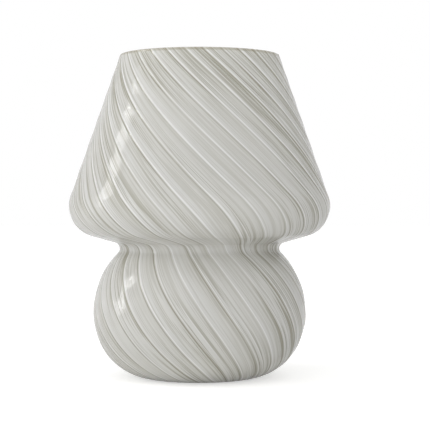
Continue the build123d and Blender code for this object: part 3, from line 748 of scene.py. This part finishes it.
# ------------------------------------------------------------------ the other materials
# Silicone rubber, moulded: it lets light through without showing what is behind, and the frost of its
# mould gives it a dull, greyish skin. The frost is drawn at 0.5 mm, coarser than it is, so that it shows.
def clear_rubber():
    material, tree = new_material("clear_rubber")
    place = add(tree, "TexCoord")["Object"]
    frost = add(tree, "TexNoise", {"Vector": place, "Scale": 1 / (0.5 * MM), "Detail": 3.0})[0]
    tone = add(tree, "Mix", {0: frost, 6: colour("#CFCFC9"), 7: colour("#E0E0DB")}, **COLOURS)[2]
    roughness = add(tree, "MapRange", [frost, *MOST, 0.38, 0.5], **SMOOTH)[0]
    shader = add(tree, "BsdfPrincipled", {
        "Base Color": tone, "Roughness": roughness, "IOR": 1.41, "Transmission Weight": 0.35,
        "Subsurface Weight": 0.4, "Subsurface Radius": (1.0, 1.0, 0.9), "Subsurface Scale": 2.0 * MM})[0]
    add(tree, "OutputMaterial", [shader])
    return material


# Soda-lime glass, blown in a mould: quite clear, with faint waves about 9 mm apart that bend what is
# behind it.
def bulb_glass():
    material, tree = new_material("bulb_glass")
    place = add(tree, "TexCoord")["Object"]
    waves = add(tree, "TexNoise", {"Vector": place, "Scale": 1 / (9.0 * MM), "Detail": 1.0})[0]
    tone = add(tree, "Mix", {0: waves, 6: colour("#F7F8F6"), 7: colour("#FDFDFC")}, **COLOURS)[2]
    bump = add(tree, "Bump", {"Strength": 0.1, "Distance": 0.05 * MM, "Height": waves})[0]
    shader = add(tree, "BsdfPrincipled", {
        "Base Color": tone, "Normal": bump, "Roughness": 0.0, "IOR": 1.5, "Transmission Weight": 1.0})[0]
    add(tree, "OutputMaterial", [shader])
    return material


# Glass-fibre laminate, etched and lacquered: a satin green, with the copper tracks under the lacquer as
# paler lines 0.22 mm wide.
def circuit_board():
    material, tree = new_material("circuit_board")
    place = add(tree, "TexCoord")["Object"]
    upright = add(tree, "VectorRotate", {"Vector": place, "Angle": math.pi / 2}, rotation_type="X_AXIS")[0]
    tracks = add(tree, "TexBrick", {
        "Vector": upright, "Scale": 1.0,
        "Brick Width": 2.4 * MM, "Row Height": 1.3 * MM, "Mortar Size": 0.22 * MM,
        "Color1": colour("#2F5B3C"), "Color2": colour("#356544"), "Mortar": colour("#5C8A62")})[0]
    shader = add(tree, "BsdfPrincipled", {"Base Color": tracks, "Roughness": 0.32, "IOR": 1.55})[0]
    add(tree, "OutputMaterial", [shader])
    return material


RING_STRETCH = (0.15, 0.15, 1.0)   # draws a noise out round the upright axis, into rings
METAL_TONES = (0.35, 0.65)      # range of the marks over which the tone goes from dark to bright


def metal(name, dark, bright, smooth, rough, grain, turned):
    """Metal whose grain, or rings where it was turned, varies its tone and shine."""
    material, tree = new_material(name)
    place = add(tree, "TexCoord")["Object"]
    if turned:
        place = add(tree, "VectorMath", [place, RING_STRETCH], operation="MULTIPLY")[0]
    marks = add(tree, "TexNoise", {"Vector": place, "Scale": 1 / grain, "Detail": 4.0})[0]
    bump = add(tree, "Bump", {"Strength": 0.15, "Distance": 0.02 * MM, "Height": marks})[0]
    blend = add(tree, "MapRange", [marks, *METAL_TONES], **SMOOTH)[0]
    tone = add(tree, "Mix", {0: blend, 6: colour(dark), 7: colour(bright)}, **COLOURS)[2]
    roughness = add(tree, "MapRange", [marks, *MOST, smooth, rough], **SMOOTH)[0]
    shader = add(tree, "BsdfPrincipled", {
        "Base Color": tone, "Metallic": 1.0, "Roughness": roughness, "Normal": bump})[0]
    add(tree, "OutputMaterial", [shader])
    return material


def moulded(name, dark, bright, smooth, rough, grain, ior, scatter):
    """Moulded or pressed body: slight mottling, and a skin as even as its mould."""
    material, tree = new_material(name)
    place = add(tree, "TexCoord")["Object"]
    mottle = add(tree, "TexNoise", {"Vector": place, "Scale": 1 / grain, "Detail": 3.0})[0]
    bump = add(tree, "Bump", {"Strength": 0.2, "Distance": 0.03 * MM, "Height": mottle})[0]
    blend = add(tree, "MapRange", [mottle, *MOST], **SMOOTH)[0]
    tone = add(tree, "Mix", {0: blend, 6: colour(dark), 7: colour(bright)}, **COLOURS)[2]
    roughness = add(tree, "MapRange", [mottle, *MOST, smooth, rough], **SMOOTH)[0]
    shader = add(tree, "BsdfPrincipled", {
        "Base Color": tone, "Roughness": roughness, "IOR": ior, "Normal": bump,
        "Subsurface Weight": scatter, "Subsurface Radius": (1.0, 0.9, 0.8), "Subsurface Scale": 1.0 * MM})[0]
    add(tree, "OutputMaterial", [shader])
    return material


# dark and bright tone, least and most roughness, size of the marks, and whether they run round in rings;
# real plating grain and feed marks are under 0.1 mm, and these are drawn coarser, so that they show
METALS = {
    # zinc-plated steel, plated in a barrel: cool grey, with a soft shine that is never quite even
    "zinc_steel": ("#AEB2B4", "#C6CACC", 0.22, 0.36, 0.6 * MM, True),
    # brass, turned on a lathe: warm yellow, its highlights broken by the tool's fine rings
    "turned_brass": ("#AE9158", "#C6AA70", 0.18, 0.30, 0.25 * MM, True),
    # brass strip, hard-rolled and stamped: a paler yellow, smooth and plain
    "spring_brass": ("#BC9A55", "#D6B672", 0.20, 0.30, 0.5 * MM, False),
    # nickel-plated brass, rolled to a thread: faintly warm silver with bright highlights on each turn
    "nickel_cap": ("#B4B2AC", "#CCCAC4", 0.16, 0.26, 0.8 * MM, True),
    # tin solder, set from a drop: grey, with the dull frost of its crystals
    "solder": ("#9C9D9E", "#B6B7B8", 0.30, 0.45, 0.6 * MM, False),
    # nickel wire, drawn: plain grey with a soft line of light along it
    "bulb_wire": ("#A9A9A7", "#C2C2C0", 0.20, 0.30, 0.3 * MM, False),
}
# dark and bright tone, least and most roughness, size of the mottling, IOR, and how much light sinks in
BODIES = {
    # thermoplastic polyester, injection moulded: warm white and satin, even from end to end
    "holder_plastic": ("#E4E2DD", "#E8E6E1", 0.28, 0.36, 1.2 * MM, 1.49, 0.1),
    # steatite, pressed and fired without glaze: cream, matt and chalky; its grain is drawn at 0.5 mm to show
    "steatite": ("#D6D0C2", "#E2DDD0", 0.55, 0.70, 0.5 * MM, 1.55, 0.0),
    # black glass, pressed hot into the cap: deep black with a wet shine
    "cap_insulator": ("#101014", "#1C1C22", 0.06, 0.14, 1.5 * MM, 1.55, 0.0),
    # silicone loaded with phosphor, coated on a strip: soft orange yellow, lit a little from within
    "led_phosphor": ("#D9A63A", "#E8BC58", 0.35, 0.50, 0.35 * MM, 1.43, 0.3),
}
MATERIALS = {
    "swirled_glass": swirled_glass(),
    "clear_rubber": clear_rubber(),
    **{name: metal(name, *finish) for name, finish in METALS.items()},
    **{name: moulded(name, *finish) for name, finish in BODIES.items()},
    "bulb_glass": bulb_glass(),
    "circuit_board": circuit_board(),
}


# ------------------------------------------------------------------ dressing the frame
def stand_in(piece, node, body):
    """Puts a piece in the place of a CAD node, in the material of the node's slot."""
    slot = SLOT_OF[node]
    piece.data.materials.append(MATERIALS[slot])
    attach(piece, body)
    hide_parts(node)


def join(name, meshes):
    """One object of all the meshes."""
    shape = bmesh.new()
    for mesh in meshes:
        shape.from_mesh(mesh)
    mesh = bpy.data.meshes.new(name)
    shape.to_mesh(mesh)
    shape.free()
    piece = bpy.data.objects.new(name, mesh)
    bpy.context.scene.collection.objects.link(piece)
    return piece


def dress():
    """Gives each CAD node its slot's material, then puts the finer pieces in place of the plain ones."""
    for node, piece in NODES.items():
        if node != "glass_body":
            piece.data.materials.clear()
            piece.data.materials.append(MATERIALS[SLOT_OF[node]])
    finer = {
        "lower_tube": ("lamp", [lamp_tube("lower_tube")]),
        "upper_tube": ("lamp", [lamp_tube("upper_tube")]),
        "lock_nut": ("lamp", [hexagon_nut("lock_nut")]),
        "holder_skirt": ("lamp", [holder_top()]),
        "screw_shell": ("lamp", [screw_cap("screw_shell", SHELL_THREAD_DEPTH, 0.0)]),
        "bulb_cap": ("bulb", [screw_cap("bulb_cap", CAP_THREAD_DEPTH, CAP_LIP)]),
        "bulb_envelope": ("bulb", [bulb_glass_body()]),
        "bulb_stem": ("bulb", [bulb_foot_glass()]),
        "led_filaments": ("bulb", filaments()),
    }
    for node, (body, meshes) in finer.items():
        stand_in(join(node + "_fine", meshes), node, body)


glass = build_glass()
drill_cord_hole(glass)
stand_in(glass, "glass_body", "lamp")
dress()


# ------------------------------------------------------------------ studio
WORLD_LIGHT = 0.64
WHITE_IN_REFLECTIONS = 0.35     # of the white that is seen directly, or the glass's flanks would pale
FLOOR_SIZE = 12.0
FLOOR_GLOW = 0.50
PAPER_TOOTH = 1 / 240           # in metres, about 4 mm: coarser than real paper's, so that it shows
# name, place, what it is aimed at, width, height, power, and whether the glass mirrors it: only the
# window, because a mirrored fill light would lay a second highlight over the ribs
LIGHTS = (
    ("window", (-1.42, 0.05, 0.52), (0, 0, 0.12), 0.30, 0.95, 4.5, True),
    ("ceiling", (-0.3, -0.9, 1.9), (0, 0, 0.1), 1.4, 1.4, 1.5, False),
    ("table_side", (-0.5, -1.9, 0.12), (0, 0, 0.03), 1.6, 0.3, 14.0, False),
)


def area_light(name, place, target, width, height, power, mirrored):
    data = bpy.data.lights.new(name, "AREA")
    data.shape = "RECTANGLE"
    data.size = width
    data.size_y = height
    data.energy = power
    light = bpy.data.objects.new(name, data)
    light.location = place
    light.rotation_euler = (Vector(target) - Vector(place)).to_track_quat("-Z", "Y").to_euler()
    light.visible_glossy = mirrored
    bpy.context.scene.collection.objects.link(light)


def seen_white(tree):
    """1 where the surround is seen directly or through glass, less when mirrored, 0 where it only lights."""
    rays = add(tree, "LightPath")
    mirrored = add(tree, "Math", [rays["Is Glossy Ray"], WHITE_IN_REFLECTIONS], operation="MULTIPLY")[0]
    indirect = add(tree, "Math", [mirrored, rays["Is Transmission Ray"]], operation="MAXIMUM")[0]
    return add(tree, "Math", [rays["Is Camera Ray"], indirect], operation="MAXIMUM")[0]


def studio_world():
    """Even surround: paper white seen directly or through glass, and a little greyer in a reflection."""
    world = bpy.data.worlds.new("studio")
    bpy.context.scene.world = world
    world.use_nodes = True
    tree = world.node_tree
    tree.nodes.clear()
    missing = 1.0 - WORLD_LIGHT
    strength = add(tree, "Math", [seen_white(tree), missing, WORLD_LIGHT], operation="MULTIPLY_ADD")[0]
    background = add(tree, "Background", {"Color": (1.0, 1.0, 1.0, 1.0), "Strength": strength})[0]
    add(tree, "OutputWorld", [background])


# Background paper, rolled: matt and white, with a fine tooth. The glow lifts it to the white of the surround
# where it is seen, and adds no light to the lamp, so that the lamp's soft shadow stays.
def white_paper():
    material, tree = new_material("white_paper")
    place = add(tree, "TexCoord")["Object"]
    tooth = add(tree, "TexNoise", {"Vector": place, "Scale": 1 / PAPER_TOOTH, "Detail": 3.0})[0]
    blend = add(tree, "MapRange", [tooth, *MOST], **SMOOTH)[0]
    tone = add(tree, "Mix", {0: blend, 6: colour("#EBEBEA"), 7: colour("#EDEDEC")}, **COLOURS)[2]
    diffuse = add(tree, "BsdfDiffuse", {"Color": tone, "Roughness": 0.3})[0]
    strength = add(tree, "Math", [seen_white(tree), FLOOR_GLOW], operation="MULTIPLY")[0]
    glow = add(tree, "Emission", {"Strength": strength})[0]
    both = add(tree, "AddShader", [diffuse, glow])[0]
    add(tree, "OutputMaterial", [both])
    return material


def studio_floor():
    bpy.ops.mesh.primitive_plane_add(size=FLOOR_SIZE, location=(0, 0, 0))
    floor = bpy.context.object
    floor.name = "floor"
    floor.data.materials.append(white_paper())


studio_world()
studio_floor()
for light in LIGHTS:
    area_light(*light)
